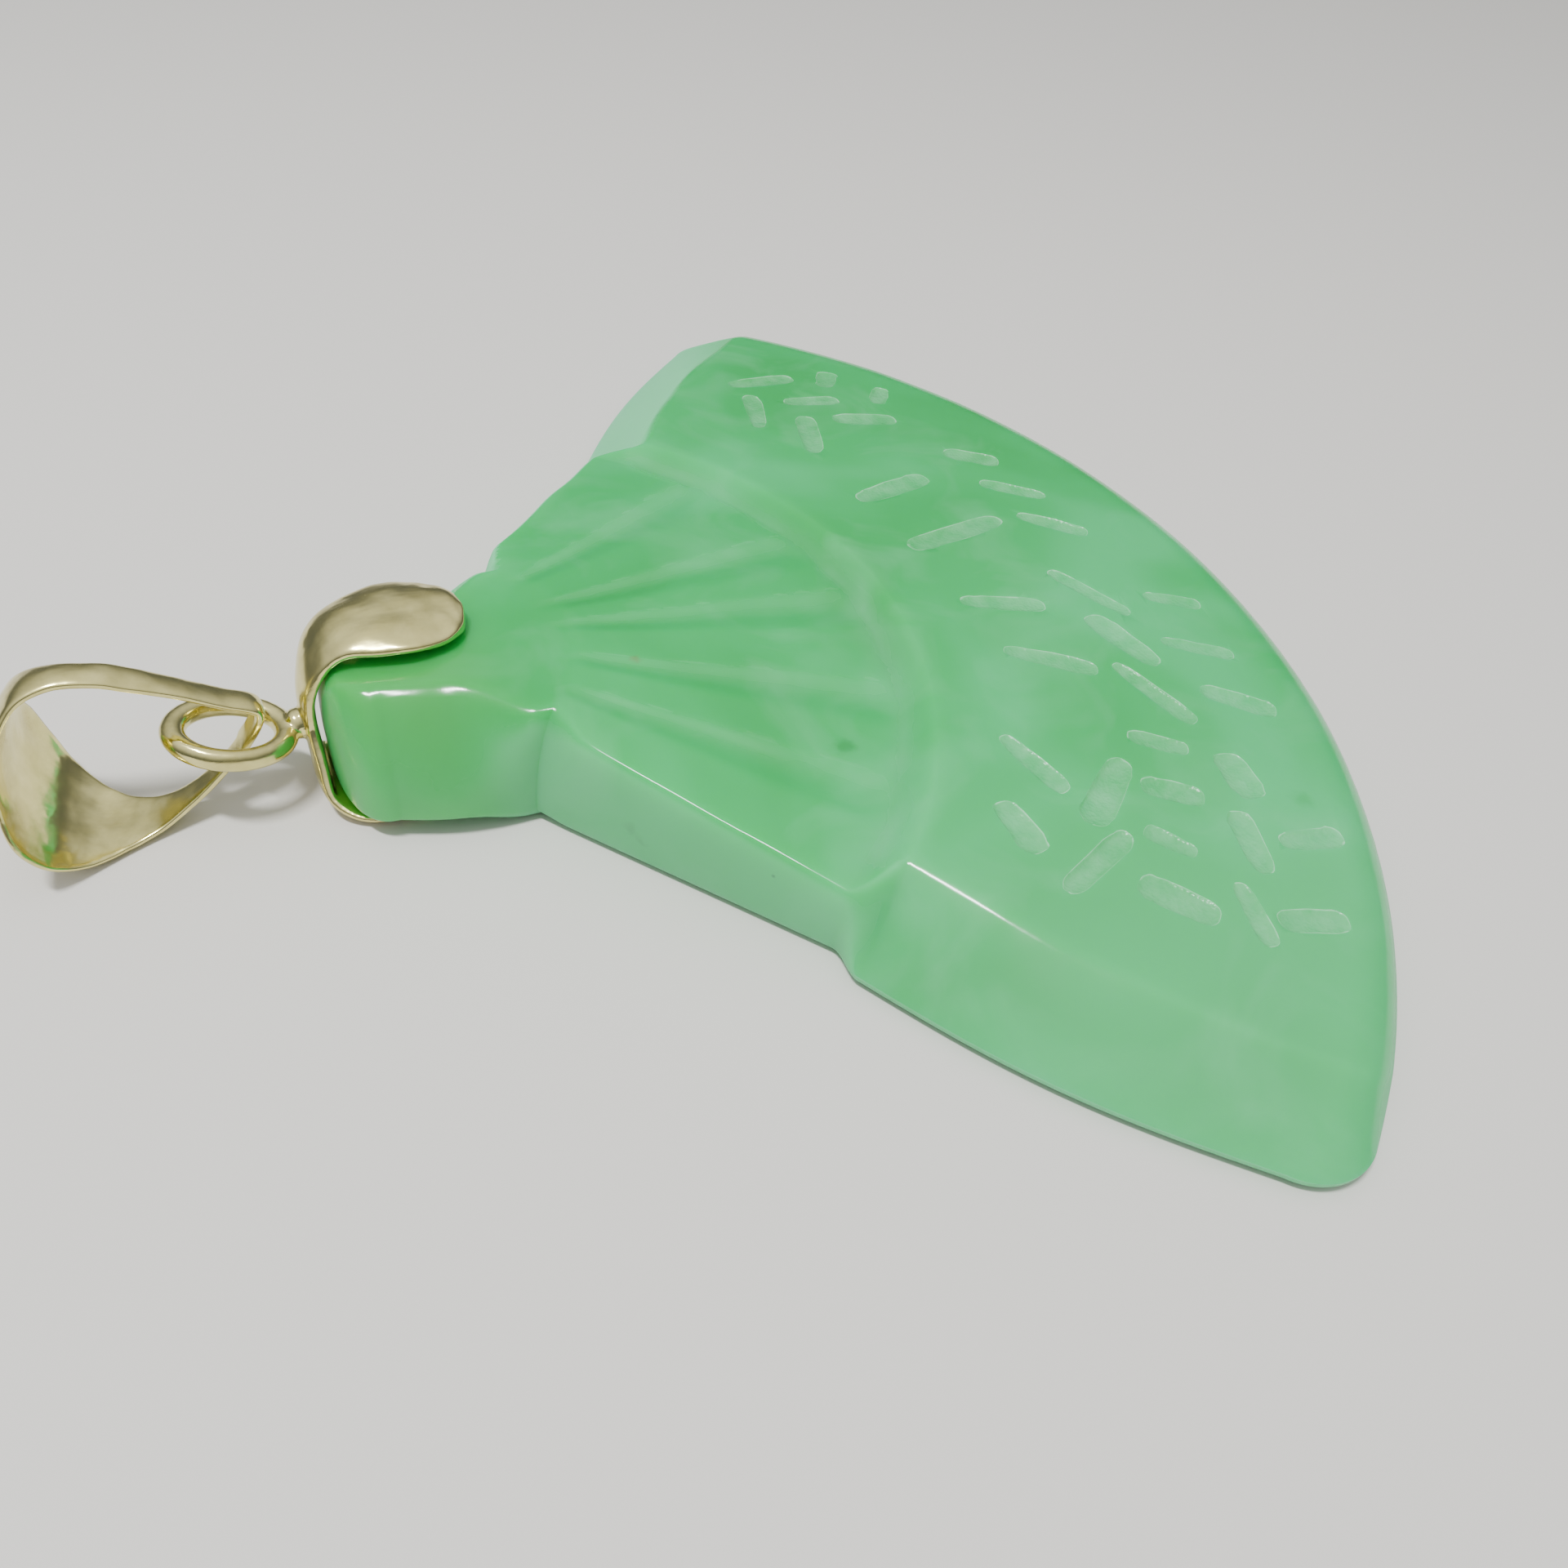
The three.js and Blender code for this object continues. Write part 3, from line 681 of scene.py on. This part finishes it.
def stonePoint(row, fromEdge, side, top):
    # a place on the row, this far in from its far (1) or near (-1) edge, on the top or the back
    radius, edgeAngle = rowArc(row)
    half = radius * edgeAngle
    share = 1 - fromEdge / half if half > 0 else 0.0
    angle = edgeAngle * share * side
    x = row[2] - radius + radius * math.cos(angle)
    y = radius * math.sin(angle)
    zone = row[3]
    fromRound = stone["roundRadius"] - math.hypot(x - stone["roundCentreX"], y)
    fromKnobEnd = x - stone["knobEndX"]
    atKnob = 1 - smooth(zone / 0.9)
    edgeHeight = mix(stone["fanEdgeHeight"], stone["knobEdgeHeight"], atKnob)
    if top:
        wander = stone["ridgeWander"] * handWave(x, y, stone["ridgeWanderMm"], 1.0)
        wander *= smooth(fromEdge / 0.3)
        up = (rise(fromEdge + wander, sideReach(row, half), byZone(stone["sideFullness"], zone))
              * rise(fromRound, stone["roundSlope"], stone["roundFullness"])
              * rise(fromKnobEnd, stone["knobEndSlope"], stone["knobEndFullness"]))
        wave = stone["waveHeight"] * handWave(x, y, stone["waveMm"], 0.0)
        return x, y, mix(edgeHeight, carvedTop(x, y) - wheelWork(x, y)[0] + wave, up)
    rounding = stone["undersideRounding"]
    down = (rise(fromEdge, rounding, 2) * rise(fromRound, rounding, 2)
            * rise(fromKnobEnd, rounding, 2))
    return x, y, mix(edgeHeight, stone["knobUnderside"] * atKnob, down)


def closeReach(zone):
    knob, ribs, leaf = stone["closeReach"]
    return mix(knob, ribs, smooth(zone / 0.6)) if zone < 1 else mix(ribs, leaf, zone - 1)


def innerShares(row):
    # places between the two sides, as shares of the distance from the middle, gathered at the folds
    radius, edgeAngle = rowArc(row)
    reach = max(math.hypot(row[0] - stone["pivotX"], row[1]), folds["reach"][0])
    wall, gentle = foldSizes(reach)[1:]
    offsets = [-gentle * share for share in folds["gentleSteps"]]
    offsets += [wall * share for share in folds["wallSteps"]]
    inner = edgeAngle * (1 - closeReach(row[3]) / (radius * edgeAngle))
    groups = [[-1.0]]
    for angle in folds["angles"]:
        groups.append([(math.radians(angle) + off / reach) / inner for off in offsets])
    groups.append([1.0])
    shares = []
    for here, after in zip(groups, groups[1:]):
        shares += here + [mix(here[-1], after[0], k / 5) for k in range(1, 5)]
    return shares[1:][::-1]


def buildStone():
    rows = stoneRows()
    edge = [(k / stone["edgeSteps"]) ** 1.6 for k in range(stone["edgeSteps"] + 1)]
    edge = sorted(edge + list(stone["ridgeSteps"]))
    atNotch = next(innerShares(row) for row in rows if row[0] > stone["notchX"])
    places = []
    for row in rows:
        radius, edgeAngle = rowArc(row)
        half = radius * edgeAngle
        close = min(closeReach(row[3]), stone["widestSlopeShare"] * half)
        shares = innerShares(row) if row[0] > stone["notchX"] else atNotch
        stations = [(step * close, 1) for step in edge]
        for share in shares:
            stations.append((half - abs(share) * (half - close), -1 if share < 0 else 1))
        stations += [(step * close, -1) for step in reversed(edge)]
        ring = [stonePoint(row, away, side, True) for away, side in stations]
        ring += [stonePoint(row, away, side, False) for away, side in reversed(stations[1:-1])]
        if row is rows[-1]:
            ring = [(point[0], point[1], stone["fanEdgeHeight"]) for point in ring]
        places.append(ring + [ring[0]])
    return shapedGrid("jadeFanStone", len(rows) - 1, len(places[0]) - 1, lambda u, v: places[u][v])


def markSurface(blank):
    # where the wheel left the top matt and pale, with a painted pale sheen on the fold walls, and
    # how much of a steep, less polished side each point is, which is also painted paler as a sheen
    markAndSheen = blank.data.attributes.new("wheelMarkAndSheen", "FLOAT", "POINT")
    side = blank.data.attributes.new("sideFace", "FLOAT", "POINT")
    onKnob, onNear, onFar = stone["sideShare"]
    for k, vertex in enumerate(blank.data.vertices):
        x, y, z = vertex.co
        markAndSheen.data[k].value = wheelWork(x, y)[1] if z > 1.2 else 0.0
        far = smooth(y / 3) * smooth(vertex.normal.y / 0.2)
        share = mix(onKnob, onNear, smooth(x - stone["notchX"] + 1)) * mix(1.0, onFar, far)
        level = (vertex.normal.z - mix(*stone["steepFrom"], far)) / mix(*stone["steepSpan"], far)
        side.data[k].value = share * (1 - smooth(level))


def polar(reach, degrees):
    turn = math.radians(degrees)
    return stone["pivotX"] + reach * math.cos(turn), reach * math.sin(turn)


# Rows of plain wheel cuts where the leaf is inscribed. They stand for no writing.
strokes = {
    "seed": 11,
    "halfWidth": (0.3, 0.46),
    "depth": (0.06, 0.09),
    "taper": (0.7, 1.0),
    "halfHeight": 0.2,
    "blunt": (0.45, 0.7, 0.7),
    "ragged": 0.16,
    "strayReach": 0.2,
    "strayLean": 9,
    "strayLength": (0.75, 1.1),
    # reach of the row, its middle angle, how many, length, degrees apart, lean from the radius
    "rows": (
        (14.9, 35.0, 2, 2.6, 7.6, 34), (17.0, 35.5, 3, 2.4, 6.2, -38),
        (18.7, 34.0, 2, 1.5, 5.6, 30),
        (14.5, 12.5, 2, 3.4, 10.0, 8), (17.7, 12.0, 3, 2.3, 6.2, -44),
        (14.2, -9.6, 2, 3.0, 9.0, -15), (16.5, -11.3, 3, 2.8, 6.8, -56),
        (18.7, -12.4, 3, 2.2, 6.0, -20),
        (13.3, -33.5, 2, 2.0, 8.6, -45), (14.8, -35.0, 2, 2.5, 8.2, 66),
        (16.3, -32.2, 4, 1.7, 5.4, -8), (18.0, -33.0, 3, 1.8, 6.4, -70),
        (19.3, -35.0, 2, 1.6, 7.0, 26),
    ),
}


def addStroke(reach, angle, length, lean, chance):
    # a ball squared off into a blunt bar that is narrower at one end, sunk by its depth
    x, y = polar(reach, angle)
    fall = carvedTop(*polar(reach + 0.5, angle)) - carvedTop(*polar(reach - 0.5, angle))
    tilt = -math.atan(fall * math.cos(math.radians(lean)))
    halfHeight, depth = strokes["halfHeight"], chance.uniform(*strokes["depth"])
    halfWidth, taper = chance.uniform(*strokes["halfWidth"]), chance.uniform(*strokes["taper"])
    flip = chance.choice((-1, 1))
    deselectAll()
    bpy.ops.mesh.primitive_uv_sphere_add(segments=32, ring_count=18, radius=1.0)
    wheel = bpy.context.object
    for vertex in wheel.data.vertices:
        u, v, w = (
            math.copysign(abs(c) ** power, c) for c, power in zip(vertex.co, strokes["blunt"]))
        ragged = 1 + strokes["ragged"] * handWave(5 * u + reach, 3 * v + angle, 1.0, 4.0)
        narrowed = mix(1, taper, (u * flip + 1) / 2)
        vertex.co = (u * length / 2, v * halfWidth * ragged * narrowed, w * halfHeight)
    wheel.location = (x, y, carvedTop(x, y) + halfHeight - depth)
    wheel.rotation_euler = (0.0, tilt, math.radians(angle + lean))
    bpy.ops.object.transform_apply(location=True, rotation=True, scale=True)
    return wheel


def addStrokes():
    chance = random.Random(strokes["seed"])
    stray, strayLean = strokes["strayReach"], strokes["strayLean"]
    wheels = []
    for reach, middle, count, length, step, lean in strokes["rows"]:
        for i in range(count):
            wheels.append(addStroke(
                reach + chance.uniform(-stray, stray), middle + (i - (count - 1) / 2) * step,
                length * chance.uniform(*strokes["strayLength"]),
                lean + chance.uniform(-strayLean, strayLean), chance))
    return wheels


def carve(piece, cutters, name):
    # all cutters at once, and what they leave takes their frosted material
    group = bpy.data.collections.new(name)
    bpy.context.scene.collection.children.link(group)
    for cutter in cutters:
        cutter.data.materials.append(jadeFrosted)
        for holder in list(cutter.users_collection):
            holder.objects.unlink(cutter)
        group.objects.link(cutter)
    applyModifier(piece, "BOOLEAN", operation="DIFFERENCE", operand_type="COLLECTION",
                  collection=group, solver="MANIFOLD", material_mode="TRANSFER")
    for cutter in cutters:
        bpy.data.objects.remove(cutter)
    bpy.data.collections.remove(group)


def markRims(piece):
    # the points between a cut's own faces and the polished ones, where its edge is painted pale as
    # a highlight
    inside, outside = set(), set()
    for face in piece.data.polygons:
        (inside if face.material_index else outside).update(face.vertices)
    rim = piece.data.attributes.new("cutRimGlint", "FLOAT", "POINT")
    for k in inside & outside:
        rim.data[k].value = 1.0


jadeFan = buildStone()
markSurface(jadeFan)
jadeFan.data.materials.append(jadePolished)
print("stone blank,", len(jadeFan.data.vertices), "points")
carve(jadeFan, addStrokes(), "strokeCuts")
markRims(jadeFan)
print("strokes cut")
finishPiece(jadeFan, "jade_fan", smoothDegrees=32.0)


# Gold claw with its soldered ring
claw = {
    "thickness": (0.36, 0.28),     # upper arm, lower arm
    "dome": (0.12, 0.05),
    "dents": (1.0, 0.1),
    "lean": 0.44,
    "neckZ": 1.6,
    # x, z, half width
    "stations": (
        (-0.26, 3.15, 0.12), (-0.4, 3.16, 0.62), (-0.8, 3.19, 1.0), (-1.5, 3.25, 1.22),
        (-2.2, 3.27, 1.14), (-2.95, 3.18, 0.92), (-3.44, 2.85, 0.8), (-3.75, 2.25, 0.64),
        (-3.84, 1.6, 0.5), (-3.83, 0.98, 0.72), (-3.77, 0.46, 1.05), (-3.26, 0.21, 1.35),
        (-2.4, 0.2, 1.52), (-1.6, 0.2, 1.3), (-1.15, 0.2, 0.85), (-0.95, 0.2, 0.15),
    ),
    "ringRadius": 1.08,
    "ringWire": 0.25,
    "ringOval": 0.82,
    "ringTilt": math.radians(15),
    "ringCentre": (-5.4, -0.18, 1.86),
    "solderRadius": 0.34,
    "solderCentre": (-4.12, -0.05, 1.62),
    "solderShape": (0.8, 1.0, 1.0),
    "steps": (170, 44),            # along the strip, around it
    "filletVoxel": 0.036,
    "filletPasses": 5,
}


# height and size in mm of the slow dents and of the quick ones, and each one's own layer of chance
goldDents = ((0.045, 0.9, 2.0), (0.02, 0.4, 6.0))


def stripPoint(centre, across, outward, half, thickness, dome, turn, way, dents):
    # one point of a thin domed strip's rounded section, with the dents and bends of handwork
    share = math.cos(turn)
    lift = math.sin(turn)
    edge = math.copysign(abs(lift) ** 0.55, lift) * thickness / 2
    dent = sum(high * handWave(way, half * share, size, layer) for high, size, layer in goldDents)
    up = dome * (1 - share * share) + edge + dents * dent
    return centre + across * (half * share) + outward * up


def buildClaw():
    steps, around = claw["steps"]
    places = []
    across = Vector((0, 1, 0))
    for i in range(steps + 1):
        t = i / steps
        x, z, half = splinePoint(claw["stations"], t)
        ahead = splinePoint(claw["stations"], t + 0.002) - splinePoint(claw["stations"], t - 0.002)
        ahead = Vector((ahead[0], 0, ahead[1])).normalized()
        outward = across.cross(ahead)
        centre = Vector((x, claw["lean"] * (z - claw["neckZ"]), z))
        down = smooth(t * 2 - 0.5)
        thickness, dome, dents = (mix(*claw[key], down) for key in ("thickness", "dome", "dents"))
        dome *= min(1.0, half)
        turns = [2 * math.pi * k / around for k in range(around + 1)]
        places.append([
            stripPoint(centre, across, outward, half, thickness, dome, turn, 10 * t, dents)
            for turn in turns])
    # the strip's two ends are drawn to a point
    for end, inner in ((places[0], places[1]), (places[-1], places[-2])):
        middle = sum(end[:-1], Vector()) / around
        for k in range(around + 1):
            end[k] = middle
    return shapedGrid("clawWithRing", steps, around, lambda u, v: places[u][v])


def buildRing():
    deselectAll()
    bpy.ops.mesh.primitive_torus_add(major_segments=96, minor_segments=28,
                                     major_radius=claw["ringRadius"], minor_radius=claw["ringWire"])
    ring = bpy.context.object
    ring.scale = (1.0, claw["ringOval"], 1.0)
    bpy.ops.object.transform_apply(location=False, rotation=False, scale=True)
    ring.rotation_euler = (0.0, claw["ringTilt"], 0.0)
    ring.location = claw["ringCentre"]
    bpy.ops.object.transform_apply(location=True, rotation=True, scale=False)
    return ring


def buildSolder():
    deselectAll()
    bpy.ops.mesh.primitive_uv_sphere_add(segments=32, ring_count=20, radius=claw["solderRadius"],
                                         location=claw["solderCentre"], scale=claw["solderShape"])
    bead = bpy.context.object
    bpy.ops.object.transform_apply(location=True, rotation=True, scale=True)
    return bead


clawPiece = buildClaw()
for other in (buildRing(), buildSolder()):
    applyModifier(clawPiece, "BOOLEAN", operation="UNION", object=other, solver="EXACT")
    bpy.data.objects.remove(other)
# the solder runs into soft fillets where the parts meet
applyModifier(clawPiece, "REMESH", mode="VOXEL", voxel_size=claw["filletVoxel"])
applyModifier(clawPiece, "SMOOTH", factor=0.5, iterations=claw["filletPasses"])
clawPiece.data.materials.clear()
clawPiece.data.materials.append(gold)
finishPiece(clawPiece, "claw_with_ring", smoothDegrees=60.0)


# Gold bail
bail = {
    "length": 4.78,
    "halfHeight": (2.41, 2.68),       # lower limb, upper limb
    "taper": (1.0, 1.62),
    "end": (-4.58, -0.12, 2.32),
    "turn": 0.06,
    "pitch": 0.09,
    "narrowHalf": (0.2, 0.32),
    "widestHalf": 1.78,
    "wideAt": 0.45,
    "wideSpan": (0.14, 0.11),
    "flare": 0.02,
    "sway": 0.26,
    "thickness": 0.2,
    "dome": 0.06,
    "dents": 0.8,
    "tipTurn": 0.13,
    "tipShare": 0.8,
    "spans": 16,
    "steps": (220, 40),               # along the strip, around it
}


def bailHalf(share):
    # half the strip's width, share from 0 to 1 along it
    limb = 0 if share < bail["wideAt"] else 1
    away = abs(share - bail["wideAt"]) / bail["wideSpan"][limb]
    return mix(bail["narrowHalf"][limb], bail["widestHalf"], math.exp(-away ** 2))


def loopPoint(share):
    # the strip's middle line, ahead and up from the narrow end, share from 0 to 1 along it
    turn = 2 * math.pi * share
    limb = 0 if share < 0.5 else 1
    narrowing = math.sin(math.pi * share) ** bail["taper"][limb]
    ahead = bail["length"] * (1 - math.cos(turn)) / 2
    return ahead, -bail["halfHeight"][limb] * math.sin(turn) * narrowing


def closedLoop(points, t):
    # centripetal curve through the loop's points, t from 0 to 1
    count = len(points)
    spot = (t % 1.0) * count
    i = int(spot) % count
    f = spot - int(spot)
    p = [np.array(points[(i + k) % count]) for k in (-1, 0, 1, 2)]
    gaps = [max(np.linalg.norm(p[k + 1] - p[k]) ** 0.5, 1e-4) for k in range(3)]
    enter = (p[1] - p[0]) / gaps[0] - (p[2] - p[0]) / (gaps[0] + gaps[1]) + (p[2] - p[1]) / gaps[1]
    leave = (p[2] - p[1]) / gaps[1] - (p[3] - p[1]) / (gaps[1] + gaps[2]) + (p[3] - p[2]) / gaps[2]
    enter, leave = enter * gaps[1], leave * gaps[1]
    return (p[1] + enter * f + (-3 * p[1] + 3 * p[2] - 2 * enter - leave) * f ** 2
            + (2 * p[1] - 2 * p[2] + enter + leave) * f ** 3)


def buildBail():
    turn = Euler((0.0, -bail["pitch"], -bail["turn"]), "ZYX").to_matrix()
    ahead, across = turn @ Vector((-1, 0, 0)), turn @ Vector((0, 1, 0))
    upward = across.cross(ahead)
    end = Vector(bail["end"])
    spans, tip = bail["spans"], bail["tipTurn"]
    outline = [loopPoint(mix(tip, 1 - tip, i / spans)) for i in range(spans + 1)]
    tipX, tipY = loopPoint(tip)
    outline.append((tipX - abs(tipY) * bail["tipShare"], 0.0))
    steps, around = bail["steps"]
    places = []
    for i in range(steps + 1):
        t = (i % steps) / steps
        flat = closedLoop(outline, t)
        tangent = closedLoop(outline, t + 0.001) - closedLoop(outline, t - 0.001)
        tangent /= np.linalg.norm(tangent)
        half = bailHalf(min(mix(tip, 1 - tip, t * (spans + 1) / spans), 1 - tip))
        outward = ahead * tangent[1] - upward * tangent[0]
        dome = bail["dome"] * min(1.0, half)
        ring = []
        for k in range(around + 1):
            point = stripPoint(
                Vector(), -across, outward, half, bail["thickness"], dome,
                2 * math.pi * k / around, 2 * math.cos(2 * math.pi * t), bail["dents"])
            flare = 1 - bail["flare"] * point.dot(across)
            sway = across * (bail["sway"] * min(0.0, flat[1]))
            ring.append(point + sway + ahead * (flat[0] * flare) + upward * (flat[1] * flare) + end)
        places.append(ring)
    return shapedGrid("goldBail", steps, around, lambda u, v: places[u][v])


bailPiece = buildBail()
bailPiece.data.materials.append(gold)
finishPiece(bailPiece, "bail", smoothDegrees=60.0)


# Floor, light and world
studio = {
    "floorColour": "#D9D7D2",
    "floorSide": 1200.0,
    "floorDrop": 0.01,
    "keyPlace": (-31.0, -16.4, 117.3),     # mm, a narrow soft box overhead
    "keyAlong": (0.633, -0.774, 0.0),      # it runs the way the stone's near edge does
    "keySize": (29.0, 8.0),
    "keyPower": 0.16,
    "zenith": "#FFFFFF",
    "horizon": "#666A6E",
    "horizonHeight": 0.15,
    "worldStrength": 1.12,
}


def paleFloor():
    # matt painted board: plain, with the faintest tooth
    material, tree = newMaterial("paleMattBoard")
    where = addNode(tree, "ShaderNodeTexCoord").outputs["Object"]
    tooth = addNode(tree, "ShaderNodeTexNoise", None, {
        "Vector": where, "Scale": perSize(0.5), "Detail": 3.0})
    bump = addNode(tree, "ShaderNodeBump", None, {
        "Height": tooth.outputs["Fac"], "Strength": 0.08, "Distance": 0.00002})
    shader = addNode(tree, "ShaderNodeBsdfPrincipled", None, {
        "Base Color": linear(studio["floorColour"]), "Roughness": 0.8,
        "Normal": bump.outputs["Normal"]})
    addNode(tree, "ShaderNodeOutputMaterial", None, {"Surface": shader.outputs["BSDF"]})
    return material


def addSoftBox():
    data = bpy.data.lights.new("keyLight", "AREA")
    data.shape = "RECTANGLE"
    data.size, data.size_y = (side * mm for side in studio["keySize"])
    data.energy = studio["keyPower"]
    back = Vector(studio["keyPlace"]).normalized()
    across = back.cross(Vector(studio["keyAlong"])).normalized()
    turn = Matrix((across.cross(back), across, back)).transposed().to_4x4()
    holder = bpy.data.objects.new("keyLight", data)
    holder.matrix_world = Matrix.Translation(Vector(studio["keyPlace"]) * mm) @ turn
    bpy.context.scene.collection.objects.link(holder)


def addWorld():
    # a white ceiling that darkens softly towards the horizon
    world = bpy.data.worlds.new("softStudio")
    world.use_nodes = True
    sky = world.node_tree
    way = addNode(sky, "ShaderNodeTexCoord").outputs["Generated"]
    height = addNode(sky, "ShaderNodeSeparateXYZ", None, {"Vector": way}).outputs["Z"]
    ceiling = addNode(sky, "ShaderNodeMapRange", {"interpolation_type": "SMOOTHSTEP"}, {
        "Value": height, "From Min": studio["horizonHeight"], "From Max": 1.0})
    shade = addNode(sky, "ShaderNodeMixRGB", None, {
        "Fac": ceiling.outputs["Result"], "Color1": linear(studio["horizon"]),
        "Color2": linear(studio["zenith"])})
    sky.links.new(shade.outputs["Color"], sky.nodes["Background"].inputs["Color"])
    sky.nodes["Background"].inputs["Strength"].default_value = studio["worldStrength"]
    bpy.context.scene.world = world


deselectAll()
bpy.ops.mesh.primitive_plane_add(
    size=studio["floorSide"] * mm, location=(0, 0, -studio["floorDrop"] * mm))
floor = bpy.context.object
floor.name = "paleFloor"
bpy.ops.object.transform_apply(location=True, rotation=True, scale=True)
floor.data.materials.append(paleFloor())
addSoftBox()
addWorld()
print("floor and light ready")
